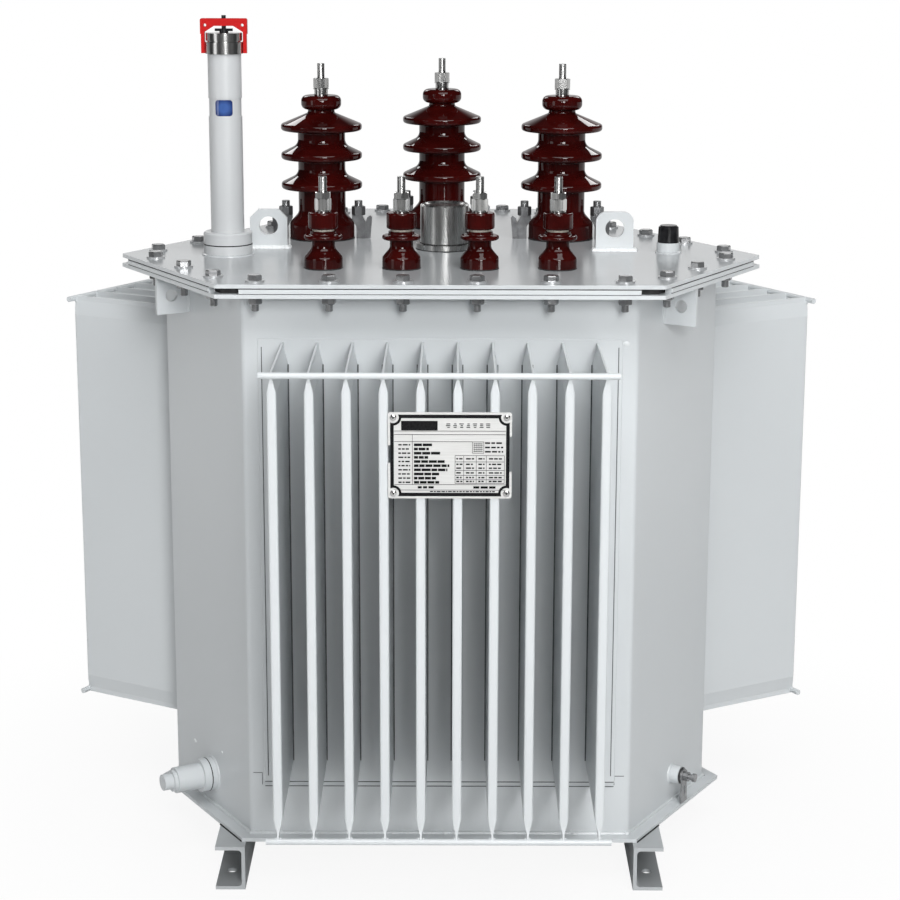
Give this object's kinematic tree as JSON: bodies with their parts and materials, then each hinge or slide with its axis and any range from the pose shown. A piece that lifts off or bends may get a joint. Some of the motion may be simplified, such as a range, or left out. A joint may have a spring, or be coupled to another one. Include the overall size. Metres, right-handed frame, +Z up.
{
  "type": "power transformer",
  "caption": "Oil-filled distribution transformer with a six-sided tank, corrugated cooling fins, porcelain bushings, oil gauge tube and channel feet.",
  "frame": {"origin": "on the ground, on the upright axis of the six-sided tank", "axes": "+X to the right, +Y to the rear, +Z up; the side with the low-voltage bushings and the rating plate faces -Y"},
  "size_m": [1.076, 0.9319, 1.1455],
  "materials": {
    "grey_paint": "semi-gloss light grey enamel",
    "gasket_rubber": "matt",
    "brown_porcelain": "glossy dark red-brown glaze on porcelain",
    "gasket_pale": "matt",
    "bright_steel": "turned stainless steel",
    "zinc": "zinc-plated steel",
    "blue_window": "gloss",
    "red_paint": "semi-gloss red",
    "black_plastic": "matt black",
    "plate_metal": "satin plate"
  },
  "bodies": {
    "root": {"tank_shell": "grey_paint", "base_plate": "grey_paint", "tank_rim": "grey_paint", "cover_gasket": "gasket_rubber", "edge_bars": "grey_paint", "cover_plate": "grey_paint", "left_foot": "grey_paint", "right_foot": "grey_paint", "left_cover_lug": "grey_paint", "right_cover_lug": "grey_paint", "side_lifting_brackets": "grey_paint", "front_fin_bank": "grey_paint", "rear_right_fin_bank": "grey_paint", "rear_left_fin_bank": "grey_paint", "front_tie_bars": "grey_paint", "rear_right_tie_bars": "grey_paint", "rear_left_tie_bars": "grey_paint", "hv_bushing_left": "brown_porcelain", "hv_bushing_middle": "brown_porcelain", "hv_bushing_right": "brown_porcelain", "lv_bushings": "brown_porcelain", "lv_caps": "brown_porcelain", "lv_gaskets": "gasket_pale", "hv_terminals": "bright_steel", "lv_terminals": "bright_steel", "hv_clamps": "zinc", "gauge_base": "grey_paint", "gauge_tube": "grey_paint", "gauge_window": "blue_window", "gauge_cap": "bright_steel", "gauge_yoke": "red_paint", "gauge_knob": "black_plastic", "relief_ring": "bright_steel", "relief_cap": "bright_steel", "thermometer_boss": "grey_paint", "thermometer_cap": "black_plastic", "drain_boss": "grey_paint", "drain_cap": "grey_paint", "sampling_boss": "grey_paint", "sampling_cock": "zinc", "nameplate": "plate_metal"}
  },
  "joints": []
}
